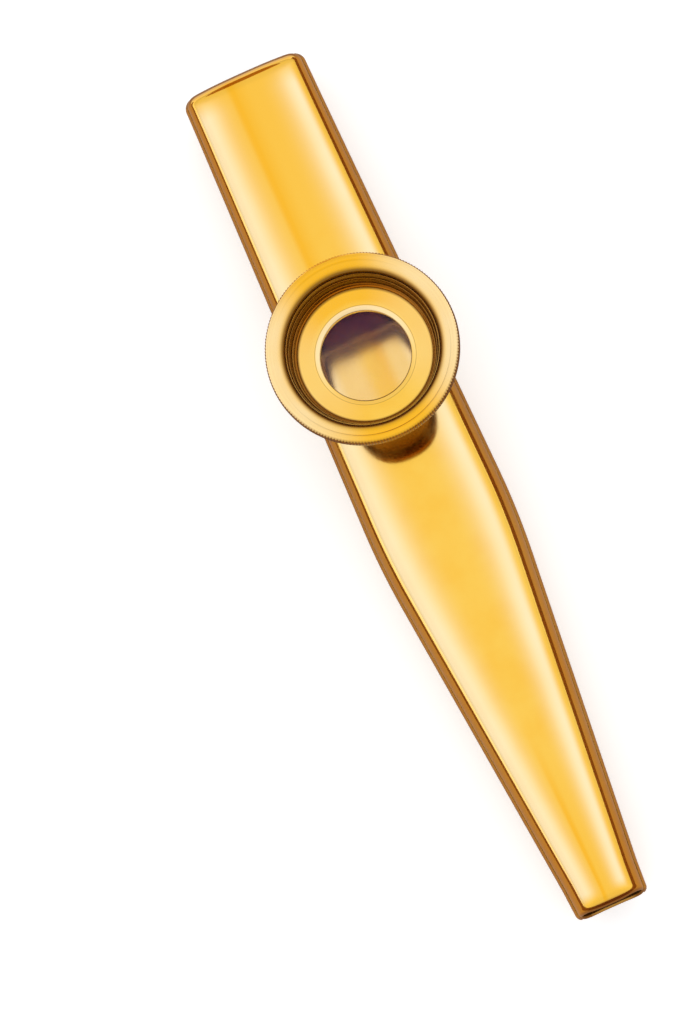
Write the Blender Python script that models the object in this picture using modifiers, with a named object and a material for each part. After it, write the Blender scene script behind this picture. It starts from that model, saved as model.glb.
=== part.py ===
"""A metal kazoo, made the way the real one is.

Two pressed half shells meet in a lapped seam and make the tapered body. A stepped collar
stands in a hole in the upper shell. Its seat carries the resonator film and the ring that
holds the film flat, and a drawn cap with a rolled thread screws into it and clamps both.

Metres, +Z up. The wide mouth end points along -X, the narrow end along +X, and the turret
stands along +Z. The origin is under the middle of the body, level with its belly.
"""

import math

import bmesh
import bpy

# Sheet metal and the clearances between pieces
SHEET = 0.00035
SEAM_GAP = 0.00015
HOLE_GAP = 0.00020
OVERRUN = 0.0020
MERGE = 0.000001

# Body, measured over the seam. The shoulder is where the two tapers would meet unblended.
LENGTH = 0.1200
SHOULDER_FROM_MOUTH = 0.0676
SHOULDER_BLEND = 0.0115
MOUTH_WIDTH = 0.0170
SHOULDER_WIDTH = 0.0195
TIP_WIDTH = 0.0095
MOUTH_HEIGHT = 0.0102
SHOULDER_HEIGHT = 0.0132
TIP_HEIGHT = 0.0104

# Powers of the oval cross-section: 2 is an ellipse, more is squarer
MOUTH_POWER = 3.0
SHOULDER_POWER = 2.9
TIP_POWER = 2.5

# Curled ends of the shells, tight at the seam and rounder over the crown
MOUTH_CURL = 0.0012
MOUTH_CROWN_CURL = 0.0028
TIP_CURL = 0.0005
TIP_CROWN_CURL = 0.0020
CURL_ANGLE = math.radians(70)

# Lapped seam: the lower shell's rim steps out round the upper shell's edge
RIM_ABOVE = 0.0009
RIM_BELOW = 0.0006
RIM_STEP = 0.0005
UPPER_EDGE = 0.0004

# Turret collar
TURRET_FROM_MOUTH = 0.0428
TUBE_DROP = 0.0030
SHELF_RISE = 0.0013
SEAT_WIDTH = 0.00164
COLLAR_ROUND = 0.00045
COLLAR_LIP = 0.00045

# Rolled thread between the collar and the cap, on walls that widen upwards
BARREL_RADIUS = 0.0095
BARREL_TAPER = math.radians(14)
THREAD_CLEARANCE = 0.00020
THREAD_PITCH = 0.0015
THREAD_DEPTH = 0.00016
THREAD_FADE = 0.0005

# Resonator film and its ring
FILM_THICKNESS = 0.00010
FILM_GAP = 0.00010
RING_THICKNESS = 0.00095
RING_WIDTH = 0.00230
RING_CHAMFER = 0.00015
RING_SIDE_GAP = 0.00045
RING_NECK_GAP = 0.00040
CAP_GAP = 0.00015

# Cap
CAP_HEIGHT = 0.0056
NECK_FLARE = 0.00015
NECK_ROUND = 0.00040
NECK_TO_FILM = 0.00025
SOLE_ROUND = 0.00090
SOLE_SLOPE = math.radians(2)
FLARE_ROUND = 0.00120
FLANGE_WIDTH = 0.00018
FLANGE_SINK = 0.00020
CREASE_WIDTH = 0.00020
CREST_WIDTH = 0.00042
RIM_ROUND = 0.00040
SKIRT_HEIGHT = 0.0017
HEM_ROUND = 0.00029
HEM_RETURN = 0.00025

# Knurl on the cap's skirt
KNURL_COUNT = 48
KNURL_DEPTH = 0.00014
KNURL_WIDTH = 0.00050

# How finely curves are cut into flats
SECTION_STEPS = 16
CURL_STEPS = 3
MOUTH_STEPS = 4
BLEND_STEPS = 8
TIP_STEPS = 5
TURN_STEPS = 48
ARC_STEP = math.radians(45)
THREAD_STEPS_PER_TURN = 5
SHARP_ANGLE = math.radians(40)

# Finishes: colour, roughness, metallic
GOLD_SHELL = ((0.90, 0.53, 0.09, 1.0), 0.18, 1.0)
GOLD_COLLAR = ((0.82, 0.47, 0.08, 1.0), 0.22, 1.0)
GOLD_CAP = ((0.92, 0.56, 0.11, 1.0), 0.16, 1.0)
FILM_CLEAR = ((0.86, 0.80, 0.88, 1.0), 0.12, 0.0)
RING_WHITE = ((0.85, 0.82, 0.76, 1.0), 0.60, 0.0)

# Sizes that follow from those above
LAP = SHEET + SEAM_GAP
HALF_SHEET = SHEET / 2
TURRET_X = TURRET_FROM_MOUTH - LENGTH / 2
BARREL_ROOT = BARREL_RADIUS - HALF_SHEET - THREAD_DEPTH
COLLAR_WALL = BARREL_RADIUS + THREAD_CLEARANCE + HALF_SHEET + THREAD_DEPTH
RING_RADIUS = BARREL_RADIUS + THREAD_CLEARANCE - THREAD_DEPTH - RING_SIDE_GAP
TUBE_RADIUS = RING_RADIUS - SEAT_WIDTH
NECK_BORE_RADIUS = RING_RADIUS - RING_WIDTH - RING_NECK_GAP - SHEET
TAPER_RISE = 1 - math.sin(BARREL_TAPER)
THREAD_RUN = CAP_HEIGHT - FLANGE_SINK - SHEET - (FLARE_ROUND + SOLE_ROUND) * TAPER_RISE
BARREL_TOP = BARREL_ROOT + THREAD_RUN * math.tan(BARREL_TAPER)
FLARE_EDGE = BARREL_TOP + FLARE_ROUND * math.cos(BARREL_TAPER)
CREASE_EDGE = FLARE_EDGE + FLANGE_WIDTH
CREST_EDGE = CREASE_EDGE + CREASE_WIDTH
SKIRT_WALL = CREST_EDGE + CREST_WIDTH + RIM_ROUND


def taper(station, at_mouth, at_shoulder, at_tip):
    """A value that rises to the shoulder and falls to the tip, with a blend between the slopes."""
    rise = (at_shoulder - at_mouth) / SHOULDER_FROM_MOUTH
    fall = (at_tip - at_shoulder) / (LENGTH - SHOULDER_FROM_MOUTH)
    past = station - SHOULDER_FROM_MOUTH
    half = SHOULDER_BLEND / 2
    if past <= -half:
        return at_shoulder + rise * past
    if past >= half:
        return at_shoulder + fall * past
    return at_shoulder + rise * past + (fall - rise) * (past + half) ** 2 / (2 * SHOULDER_BLEND)


def half_width(station):
    """Half the width of the shells' skin, inside the lapped rim."""
    return taper(station, MOUTH_WIDTH, SHOULDER_WIDTH, TIP_WIDTH) / 2 - LAP


def half_height(station):
    """Half the height of the body."""
    return taper(station, MOUTH_HEIGHT, SHOULDER_HEIGHT, TIP_HEIGHT) / 2


def spread(first, last, steps):
    """Evenly spaced values from first to last, both included."""
    return [first + (last - first) * i / steps for i in range(steps + 1)]


def body_stations():
    """Distances from the mouth end at which the shells are drawn, closer over the shoulder."""
    first = (MOUTH_CROWN_CURL + LAP) * math.sin(CURL_ANGLE)
    last = LENGTH - (TIP_CROWN_CURL + LAP) * math.sin(CURL_ANGLE)
    blend_start = SHOULDER_FROM_MOUTH - SHOULDER_BLEND / 2
    blend_end = SHOULDER_FROM_MOUTH + SHOULDER_BLEND / 2
    stations = spread(first, blend_start, MOUTH_STEPS)
    stations += spread(blend_start, blend_end, BLEND_STEPS)[1:]
    stations += spread(blend_end, last, TIP_STEPS)[1:]
    return stations


SEAM_Z = max(half_height(station) for station in body_stations())
CROWN_Z = SEAM_Z + half_height(TURRET_FROM_MOUTH)
SEAT_Z = CROWN_Z + SHELF_RISE + SHEET
FILM_Z = SEAT_Z + FILM_GAP
RING_Z = FILM_Z + FILM_THICKNESS + FILM_GAP
SOLE_Z = RING_Z + RING_THICKNESS + CAP_GAP
CAP_TOP_Z = SOLE_Z + CAP_HEIGHT


def clear_scene():
    """Remove every object that is in the scene."""
    for obj in list(bpy.data.objects):
        bpy.data.objects.remove(obj, do_unlink=True)


def collection(name):
    """A new collection in the scene."""
    group = bpy.data.collections.new(name)
    bpy.context.scene.collection.children.link(group)
    return group


def material(name, finish):
    """A Principled material of one finish."""
    colour, roughness, metallic = finish
    made = bpy.data.materials.new(name)
    made.use_nodes = True
    shader = made.node_tree.nodes["Principled BSDF"]
    shader.inputs["Base Color"].default_value = colour
    shader.inputs["Roughness"].default_value = roughness
    shader.inputs["Metallic"].default_value = metallic
    made.diffuse_color = colour
    return made


def place(name, mesh, group, location):
    """An object for a mesh, in a collection, at a place."""
    obj = bpy.data.objects.new(name, mesh)
    group.objects.link(obj)
    obj.location = location
    return obj


def settle(obj):
    """Turn an object's modifiers into its mesh."""
    bpy.context.view_layer.update()
    graph = bpy.context.evaluated_depsgraph_get()
    mesh = bpy.data.meshes.new_from_object(obj.evaluated_get(graph))
    obj.modifiers.clear()
    obj.data = mesh


def finish(obj, look):
    """Settle an object, shade it smooth between its sharp edges and give it its material."""
    settle(obj)
    obj.data.shade_smooth()
    obj.data.set_sharp_from_angle(angle=SHARP_ANGLE)
    obj.data.materials.clear()
    obj.data.materials.append(material(obj.name + "_finish", look))


def thicken(obj, offset):
    """Give a surface the thickness of the sheet: offset -1 is all inward, 0 is both sides."""
    solidify = obj.modifiers.new("Sheet", "SOLIDIFY")
    solidify.thickness = SHEET
    solidify.offset = offset
    solidify.use_even_offset = True


def cut(obj, cutter):
    """Take a cutter's volume out of an object."""
    boolean = obj.modifiers.new("Cut", "BOOLEAN")
    boolean.operation = "DIFFERENCE"
    boolean.object = cutter


def hide_cutter(cutter):
    """Show a cutter as wire and leave it out of renders."""
    cutter.display_type = "WIRE"
    cutter.hide_render = True


def disc(name, radius, low, high, group):
    """An upright cylinder on the turret's axis between two heights."""
    bpy.ops.mesh.primitive_cylinder_add(
        vertices=TURN_STEPS,
        radius=radius,
        depth=high - low,
        location=(TURRET_X, 0, (low + high) / 2),
    )
    made = bpy.context.object
    made.name = name
    for old_group in list(made.users_collection):
        old_group.objects.unlink(made)
    group.objects.link(made)
    return made


def loft(name, rows):
    """A mesh surface through rows of points, each row as long as the others."""
    bm = bmesh.new()
    grid = [[bm.verts.new(point) for point in row] for row in rows]
    for near, far in zip(grid, grid[1:]):
        for i in range(len(near) - 1):
            bm.faces.new((near[i], near[i + 1], far[i + 1], far[i]))
    mesh = bpy.data.meshes.new(name)
    bm.to_mesh(mesh)
    bm.free()
    return mesh


def oval_point(station, turn):
    """A point (y, z) on the upper half of the skin's oval, and the outward normal there."""
    power = taper(station, MOUTH_POWER, SHOULDER_POWER, TIP_POWER)
    wide = half_width(station)
    high = half_height(station)
    along = math.cos(turn)
    up = math.sin(turn)
    y = wide * math.copysign(abs(along) ** (2 / power), along)
    z = high * up ** (2 / power)
    slope_y = math.copysign(abs(along) ** (2 - 2 / power), along) / wide
    slope_z = up ** (2 - 2 / power) / high
    size = math.hypot(slope_y, slope_z)
    return y, z, slope_y / size, slope_z / size


def turn_at(station, height):
    """Where round the oval the skin is at a height above the seam."""
    power = taper(station, MOUTH_POWER, SHOULDER_POWER, TIP_POWER)
    return math.asin((height / half_height(station)) ** (power / 2))


def upper_section(station):
    """Upper shell: a straight edge below the seam on each side, and the dome between them."""
    wide = half_width(station)
    dome = [oval_point(station, turn) + (0.0,) for turn in spread(0, math.pi, SECTION_STEPS)]
    edge = (wide, -UPPER_EDGE, 1.0, 0.0, 0.0)
    far_edge = (-wide, -UPPER_EDGE, -1.0, 0.0, 0.0)
    return [edge] + dome + [far_edge]


def lower_section(station):
    """Lower shell, drawn upside down: the rim stands out by the lap and steps in to the dome."""
    wide = half_width(station)
    rim_turn = turn_at(station, RIM_BELOW)
    dome_turn = turn_at(station, RIM_BELOW + RIM_STEP)
    rim = [(wide, -RIM_ABOVE, 1.0, 0.0, LAP), oval_point(station, rim_turn) + (LAP,)]
    dome = [
        oval_point(station, turn) + (0.0,)
        for turn in spread(dome_turn, math.pi - dome_turn, SECTION_STEPS)
    ]
    far_rim = [oval_point(station, math.pi - rim_turn) + (LAP,), (-wide, -RIM_ABOVE, -1.0, 0.0, LAP)]
    return rim + dome + far_rim


def straight_row(section, station, side):
    """One row of a shell's skin along the straight body. Side is 1 for the top, -1 for the belly."""
    x = station - LENGTH / 2
    row = [(x, y + ny * lap, side * (z + nz * lap)) for y, z, ny, nz, lap in section(station)]
    return row[::side]


def curled_row(section, station, curls, angle, end, side):
    """One row where the skin curls in by an angle. End is -1 at the mouth and 1 at the tip."""
    seam_curl, crown_curl = curls
    row = []
    for y, z, ny, nz, lap in section(station):
        curl = seam_curl + (crown_curl - seam_curl) * nz * nz
        reserve = curl + LAP * (1 - nz * nz)
        back = reserve * math.sin(CURL_ANGLE) - (curl + lap) * math.sin(angle)
        reach = (curl + lap) * math.cos(angle) - curl
        row.append((end * (LENGTH / 2 - back), y + ny * reach, side * (z + nz * reach)))
    return row[::side]


def shell_surface(name, section, side):
    """A half shell's outer skin from the curled mouth end to the curled tip."""
    stations = body_stations()
    angles = spread(0, CURL_ANGLE, CURL_STEPS)
    mouth = (MOUTH_CURL, MOUTH_CROWN_CURL)
    tip = (TIP_CURL, TIP_CROWN_CURL)
    rows = [curled_row(section, stations[0], mouth, angle, -1, side) for angle in reversed(angles)]
    rows += [straight_row(section, station, side) for station in stations[1:-1]]
    rows += [curled_row(section, stations[-1], tip, angle, 1, side) for angle in angles]
    return loft(name, rows)


def make_upper_shell(parts, cutters):
    """The top half of the body, with the hole that the turret collar stands in."""
    shell = place("upper_shell", shell_surface("upper_shell", upper_section, 1), parts, (0, 0, SEAM_Z))
    thicken(shell, -1)
    hole = disc("turret_hole_cutter", TUBE_RADIUS + HOLE_GAP, SEAM_Z, CROWN_Z + OVERRUN, cutters)
    hide_cutter(hole)
    cut(shell, hole)
    finish(shell, GOLD_SHELL)


def make_lower_shell(parts):
    """The bottom half of the body, whose rim laps round the upper shell's edge."""
    shell = place("lower_shell", shell_surface("lower_shell", lower_section, -1), parts, (0, 0, SEAM_Z))
    thicken(shell, -1)
    finish(shell, GOLD_SHELL)


def arc(centre_radius, centre_height, radius, first, last):
    """Profile points (radius, height) along an arc, both ends included."""
    steps = max(1, math.ceil(abs(last - first) / ARC_STEP))
    return [
        (centre_radius + radius * math.cos(a), centre_height + radius * math.sin(a))
        for a in spread(first, last, steps)
    ]


def thread_zone():
    """Heights above the seat between which the collar and the cap are both threaded."""
    low = SOLE_Z - SEAT_Z + HALF_SHEET + SOLE_ROUND * TAPER_RISE
    return low, low + THREAD_RUN


def wall_at(root, height):
    """Radius of a tapered wall at a height above the seat. Its root is the radius where the thread starts."""
    return root + (height - thread_zone()[0]) * math.tan(BARREL_TAPER)


def thread_rise(root):
    """Profile points up a threaded wall, close enough for the thread's waves."""
    low, high = thread_zone()
    steps = max(1, round((high - low) / THREAD_PITCH * THREAD_STEPS_PER_TURN))
    return [(wall_at(root, height), height) for height in spread(low, high, steps)]


def turned(name, profile, closed, group, location):
    """The surface that a profile of (radius, height) sweeps about the vertical axis."""
    edges = [(i, i + 1) for i in range(len(profile) - 1)]
    if closed:
        edges.append((len(profile) - 1, 0))
    mesh = bpy.data.meshes.new(name)
    mesh.from_pydata([(radius, 0.0, height) for radius, height in profile], edges, [])
    obj = place(name, mesh, group, location)
    screw = obj.modifiers.new("Turn", "SCREW")
    screw.angle = math.tau
    screw.steps = TURN_STEPS
    screw.render_steps = TURN_STEPS
    screw.use_merge_vertices = True
    screw.merge_threshold = MERGE
    return obj


def thread_window(height, low, high):
    """0 at the ends of a threaded stretch and 1 along it, with a smooth fade between."""
    inside = min(height - low, high - height) / THREAD_FADE
    share = min(1.0, max(0.0, inside))
    return share * share * (3 - 2 * share)


def roll_thread(obj, root, direction):
    """Roll a right-hand thread into a turned wall: direction 1 swells it, -1 draws it in."""
    low, high = thread_zone()
    for vertex in obj.data.vertices:
        x, y, z = vertex.co
        radius = math.hypot(x, y)
        height = z + obj.location.z - SEAT_Z
        if abs(radius - wall_at(root, height)) > MERGE or not low <= height <= high:
            continue
        wave = math.cos(math.tau * height / THREAD_PITCH - math.atan2(y, x))
        depth = THREAD_DEPTH * thread_window(height, low, high) * (direction + wave)
        vertex.co.x = x * (radius + depth) / radius
        vertex.co.y = y * (radius + depth) / radius


def collar_profile():
    """Mid-line of the collar, from its lip down the outside to the foot of its tube."""
    lip = thread_zone()[1] + COLLAR_LIP
    tube = TUBE_RADIUS - HALF_SHEET
    shelf = -HALF_SHEET
    foot = wall_at(COLLAR_WALL, shelf + COLLAR_ROUND * TAPER_RISE)
    corner = foot - COLLAR_ROUND * math.cos(BARREL_TAPER)
    profile = [(wall_at(COLLAR_WALL, lip), lip)]
    profile += thread_rise(COLLAR_WALL)[::-1]
    profile += arc(corner, shelf + COLLAR_ROUND, COLLAR_ROUND, -BARREL_TAPER, -math.pi / 2)
    profile += arc(tube + COLLAR_ROUND, shelf - COLLAR_ROUND, COLLAR_ROUND, math.pi / 2, math.pi)
    profile.append((tube, -SHEET - SHELF_RISE - TUBE_DROP))
    return profile


def make_collar(parts):
    """The stepped collar: a tube through the upper shell, a seat, and a threaded cup wall."""
    collar = turned("turret_collar", collar_profile(), False, parts, (TURRET_X, 0, SEAT_Z))
    settle(collar)
    roll_thread(collar, COLLAR_WALL, -1)
    thicken(collar, 0)
    finish(collar, GOLD_COLLAR)


def make_film(parts):
    """The resonator film, a thin disc that lies on the collar's seat."""
    film = disc("membrane_film", RING_RADIUS, FILM_Z, FILM_Z + FILM_THICKNESS, parts)
    finish(film, FILM_CLEAR)


def make_ring(parts):
    """The ring that keeps the film flat, with its outer corners eased."""
    inner = NECK_BORE_RADIUS + SHEET + RING_NECK_GAP
    profile = [
        (RING_RADIUS - RING_CHAMFER, RING_THICKNESS),
        (RING_RADIUS, RING_THICKNESS - RING_CHAMFER),
        (RING_RADIUS, RING_CHAMFER),
        (RING_RADIUS - RING_CHAMFER, 0.0),
        (inner, 0.0),
        (inner, RING_THICKNESS),
    ]
    ring = turned("membrane_ring", profile, True, parts, (TURRET_X, 0, RING_Z))
    finish(ring, RING_WHITE)


def cap_profile():
    """Mid-line of the cap, from its rolled hem over the flange and down to the neck's edge."""
    crest = -HALF_SHEET
    flange = crest - FLANGE_SINK
    hem = HALF_SHEET + HEM_ROUND - SKIRT_HEIGHT
    sole = HALF_SHEET + SOLE_ROUND - CAP_HEIGHT
    neck = NECK_BORE_RADIUS + HALF_SHEET
    neck_top = neck + NECK_FLARE
    foot = RING_Z - FILM_GAP + NECK_TO_FILM - CAP_TOP_Z
    barrel = [(radius, height + SEAT_Z - CAP_TOP_Z) for radius, height in thread_rise(BARREL_ROOT)]
    sole_centre = BARREL_ROOT - SOLE_ROUND * math.cos(BARREL_TAPER)
    sole_arc = arc(sole_centre, sole, SOLE_ROUND, -BARREL_TAPER, -math.pi / 2 - SOLE_SLOPE)
    neck_centre = neck_top + NECK_ROUND
    shelf_run = sole_arc[-1][0] - neck_centre - NECK_ROUND * math.sin(SOLE_SLOPE)
    neck_height = sole_arc[-1][1] + shelf_run * math.tan(SOLE_SLOPE) - NECK_ROUND * math.cos(SOLE_SLOPE)
    profile = [(SKIRT_WALL - 2 * HEM_ROUND, hem + HEM_RETURN)]
    profile += arc(SKIRT_WALL - HEM_ROUND, hem, HEM_ROUND, -math.pi, 0)
    profile += arc(SKIRT_WALL - RIM_ROUND, crest - RIM_ROUND, RIM_ROUND, 0, math.pi / 2)
    profile += [(CREST_EDGE, crest), (CREASE_EDGE, flange)]
    profile += arc(FLARE_EDGE, flange - FLARE_ROUND, FLARE_ROUND, math.pi / 2, math.pi - BARREL_TAPER)[:-1]
    profile += barrel[::-1]
    profile += sole_arc[1:]
    profile += arc(neck_centre, neck_height, NECK_ROUND, math.pi / 2 - SOLE_SLOPE, math.pi)
    profile.append((neck, foot))
    return profile


def make_knurl_cutter(cutters):
    """Upright wedges round the skirt, one for each groove of the knurl."""
    low = HEM_ROUND + HALF_SHEET - SKIRT_HEIGHT
    high = -HALF_SHEET - RIM_ROUND
    face = (SKIRT_WALL + HALF_SHEET) * math.cos(math.pi / TURN_STEPS)
    corners = ((face - KNURL_DEPTH, 0), (face + KNURL_DEPTH, -KNURL_WIDTH), (face + KNURL_DEPTH, KNURL_WIDTH))
    bm = bmesh.new()
    for i in range(KNURL_COUNT):
        around = math.tau * (i + 0.5) / KNURL_COUNT
        wedge = []
        for height in (low, high):
            for out, across in corners:
                x = out * math.cos(around) - across * math.sin(around)
                y = out * math.sin(around) + across * math.cos(around)
                wedge.append(bm.verts.new((x, y, height)))
        bmesh.ops.convex_hull(bm, input=wedge)
    mesh = bpy.data.meshes.new("knurl_cutter")
    bm.to_mesh(mesh)
    bm.free()
    cutter = place("knurl_cutter", mesh, cutters, (TURRET_X, 0, CAP_TOP_Z))
    hide_cutter(cutter)
    return cutter


def make_cap(parts, cutters):
    """The drawn cap: flange with rolled hem, threaded barrel, shelf, and a neck with the hole."""
    cap = turned("turret_cap", cap_profile(), False, parts, (TURRET_X, 0, CAP_TOP_Z))
    settle(cap)
    roll_thread(cap, BARREL_ROOT, 1)
    thicken(cap, 0)
    cut(cap, make_knurl_cutter(cutters))
    finish(cap, GOLD_CAP)


def build():
    """Model the whole kazoo."""
    clear_scene()
    parts = collection("kazoo")
    cutters = collection("cutters")
    make_lower_shell(parts)
    make_upper_shell(parts, cutters)
    make_collar(parts)
    make_film(parts)
    make_ring(parts)
    make_cap(parts, cutters)


build()
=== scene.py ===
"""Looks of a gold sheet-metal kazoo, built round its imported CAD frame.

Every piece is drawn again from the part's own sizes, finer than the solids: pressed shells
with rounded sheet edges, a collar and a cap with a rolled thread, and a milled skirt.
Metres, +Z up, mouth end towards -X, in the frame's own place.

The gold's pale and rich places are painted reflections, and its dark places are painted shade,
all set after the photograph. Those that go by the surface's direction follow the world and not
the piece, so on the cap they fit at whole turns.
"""

import math

import bmesh
import bpy
from mathutils import Matrix, Vector


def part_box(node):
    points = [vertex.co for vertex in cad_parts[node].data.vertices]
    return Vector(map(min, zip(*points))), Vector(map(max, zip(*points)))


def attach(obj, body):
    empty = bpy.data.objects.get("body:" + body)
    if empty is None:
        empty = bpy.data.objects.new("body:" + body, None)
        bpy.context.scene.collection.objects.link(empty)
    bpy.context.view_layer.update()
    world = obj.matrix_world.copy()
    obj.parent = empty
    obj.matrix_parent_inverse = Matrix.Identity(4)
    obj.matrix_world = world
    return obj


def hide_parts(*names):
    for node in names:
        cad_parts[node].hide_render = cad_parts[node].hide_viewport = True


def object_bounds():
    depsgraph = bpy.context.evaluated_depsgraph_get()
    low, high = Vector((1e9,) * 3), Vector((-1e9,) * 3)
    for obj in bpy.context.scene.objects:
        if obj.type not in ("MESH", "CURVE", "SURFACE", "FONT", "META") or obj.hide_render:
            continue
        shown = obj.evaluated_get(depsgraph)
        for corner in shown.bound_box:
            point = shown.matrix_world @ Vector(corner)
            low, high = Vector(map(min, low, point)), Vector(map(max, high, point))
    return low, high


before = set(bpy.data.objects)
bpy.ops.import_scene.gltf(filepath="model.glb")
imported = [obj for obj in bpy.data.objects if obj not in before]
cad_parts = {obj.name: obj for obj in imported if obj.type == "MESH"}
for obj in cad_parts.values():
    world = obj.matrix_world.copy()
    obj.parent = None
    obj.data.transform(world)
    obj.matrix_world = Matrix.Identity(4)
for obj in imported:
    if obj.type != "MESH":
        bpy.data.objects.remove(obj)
CAD_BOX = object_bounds()

# Sheet metal and the clearances between pieces
SHEET = 0.00035
SEAM_GAP = 0.00001
HOLE_GAP = 0.00020
OVERRUN = 0.0020
EDGE_ROUND = 0.00004
MERGE = 0.000001

# Body, measured over the seam. The shoulder is where the two tapers would meet unblended.
SHOULDER_FROM_MOUTH = 0.0676
SHOULDER_BLEND = 0.0115
MOUTH_WIDTH = 0.0170
SHOULDER_WIDTH = 0.0195
TIP_WIDTH = 0.0095
MOUTH_HEIGHT = 0.0102
SHOULDER_HEIGHT = 0.0132
TIP_HEIGHT = 0.0104

# Powers of the oval cross-section: 2 is an ellipse, more is squarer
MOUTH_POWER = 3.0
SHOULDER_POWER = 2.9
TIP_POWER = 2.5

# Curled ends of the shells, tight at the seam and rounder over the crown
MOUTH_CURL = 0.0012
MOUTH_CROWN_CURL = 0.0028
TIP_CURL = 0.0005
TIP_CROWN_CURL = 0.0020
CURL_ANGLE = math.radians(70)
MOUTH_CROWN_SETBACK = 0.00035
TIP_RIM_SETBACK = 0.0002
TIP_BELLY_SETBACK = 0.0005

# Lapped seam: the lower shell's rim steps out round the upper shell's edge
RIM_ABOVE = 0.0009
RIM_BELOW = 0.0006
RIM_STEP = 0.0005
RIM_FEATHER = 0.00004
UPPER_EDGE = 0.0004

# Turret collar
TURRET_FROM_MOUTH = 0.0428
TUBE_DROP = 0.0030
SHELF_RISE = 0.0013
SEAT_WIDTH = 0.00164
COLLAR_ROUND = 0.00045
COLLAR_LIP = 0.00045

# Rolled thread between the collar and the cap, on walls that widen upwards
BARREL_RADIUS = 0.0095
BARREL_TAPER = math.radians(14)
THREAD_CLEARANCE = 0.00020
THREAD_PITCH = 0.0015
THREAD_DEPTH = 0.00016
THREAD_FADE = 0.0005

# Resonator film and its ring
FILM_THICKNESS = 0.00010
FILM_GAP = 0.00010
RING_THICKNESS = 0.00095
RING_WIDTH = 0.00230
RING_CHAMFER = 0.00015
RING_NECK_GAP = 0.00040
CAP_GAP = 0.00015

# Cap
NECK_NARROWING = 0.00012
NECK_BEVEL = 0.00050
NECK_BEVEL_SLOPE = math.radians(26)
NECK_TO_FILM = 0.00025
SOLE_ROUND = 0.00090
SOLE_SLOPE = math.radians(2)
FLARE_ROUND = 0.00120
FLANGE_WIDTH = 0.00018
FLANGE_SINK = 0.00020
CREASE_WIDTH = 0.00034
CREST_WIDTH = 0.00005
RIM_ROUND = 0.00063
SKIRT_HEIGHT = 0.0017
HEM_ROUND = 0.00029
HEM_RETURN = 0.00025
KNURL_COUNT = 192
KNURL_DEPTH = 0.00013
KNURL_FADE = 0.00020
KNURL_REACH = math.radians(50)

# How finely curves are drawn
SECTION_STEPS = 72
CURL_STEPS = 12
MOUTH_STEPS = 20
BLEND_STEPS = 20
TIP_STEPS = 20
TURN_STEPS = 2 * KNURL_COUNT
ARC_STEP = math.radians(12)
THREAD_STEPS_PER_TURN = 12
KNURL_ROWS = 6
CREASE_STEPS = 6
FILM_STEPS = 12
EDGE_STEPS = 2
SHARP_ANGLE = math.radians(30)
SEAM_EASING = 1.5

# The photograph: its frame, and where the kazoo's middle and axis lie in it
PHOTO_WIDTH = 682
PHOTO_HEIGHT = 1024
MIDDLE_ACROSS = 425.35
MIDDLE_DOWN = 486.77
AXIS_FROM_UPRIGHT = math.radians(24.01)
PIXEL = 0.00012963
CAMERA_DISTANCE = 0.90
CAMERA_SLOPE = 0.1912
CAMERA_ASIDE = 0.0216
SENSOR = 36.0

# Studio: a floor under an even dome of light with two soft brighter bands along the kazoo
FLOOR_SIZE = 4.0
FLOOR_COLOUR = (0.86, 0.86, 0.86, 1.0)
FLOOR_LIFT = 0.40
FLOOR_ROUGHNESS = 0.9
DOME_COLOUR = (1.0, 1.0, 1.0, 1.0)
DOME_LEVEL = 1.0
HORIZON_LEVEL = 0.86
HORIZON_RISE = math.sin(math.radians(15))
BAND_LEVEL = 0.06
BAND_LOW = math.radians(26)
BAND_HIGH = math.radians(62)
BAND_SOFTNESS = math.radians(10)
ENDS_LEVEL = -0.08
ENDWARDS = (0.35, 0.80)

# Seen in the metal's reflections alone: a dark frame that rises past the tip, a panel, and a sheet of
# painted shade
FLAG_HEIGHT = 0.0095
FLAG_LEFT_LOW = 0.0050
FLAG_LEFT_HIGH = 0.0065
FLAG_TIP_HEIGHT = 0.0130
FLAG_END_HEIGHT = 0.0160
FLAG_KNEE = 0.052
FLAG_TIP = 0.066
FLAG_ASIDE = 0.032
FLAG_BEYOND = 0.030
FLAG_COLOUR = (0.26, 0.10, 0.05, 1.0)
END_FLAG_ASIDE = 0.018
END_FLAG_MIDDLE = 0.0185
END_FLAG_HALF = 0.0072
END_FLAG_STEPS = 16
END_FLAG_COLOUR = (0.50, 0.22, 0.04, 1.0)
STUDIO_SHEET_LIFT = 0.0002
SHADE_SHEET_BEYOND = 0.018
SHADE_SHEET_COLOUR = (0.52, 0.34, 0.22, 1.0)

# Colours of the finishes. Rich and pale gold are painted reflections; the two dark colours are painted
# shade.
GOLD = (0.98, 0.60, 0.082, 1.0)
DEEP_GOLD = (0.97, 0.54, 0.048, 1.0)
RICH_GOLD = (0.96, 0.475, 0.006, 1.0)
PALE_GOLD = (1.0, 0.80, 0.47, 1.0)
# Painted shade on the shells
SHELL_SHADE_COLOUR = (0.40, 0.19, 0.035, 1.0)
# Painted shade on the collar and the cap
TURRET_SHADE_COLOUR = (0.24, 0.098, 0.0028, 1.0)
FILM = (0.52, 0.40, 1.0, 1.0)
FILM_PALE = (0.64, 0.52, 1.0, 1.0)
FILM_SHEEN = (0.90, 0.42, 1.0, 1.0)
RING = (0.80, 0.77, 0.70, 1.0)
RING_AGED = (0.70, 0.65, 0.55, 1.0)

# Gloss: the least and most roughness of each finish, and what marks and dullness add
SHELL_POLISH = (0.06, 0.10)
COLLAR_POLISH = (0.08, 0.13)
CAP_POLISH = (0.07, 0.12)
FILM_POLISH = (0.10, 0.22)
RING_POLISH = (0.48, 0.62)
MARK_ROUGHNESS = 0.04
DULLNESS = 0.15
COAT = 0.35
COAT_ROUGHNESS = 0.05
FILM_ALPHA = 0.03
FILM_ALPHA_BELOW = 0.005

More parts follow.
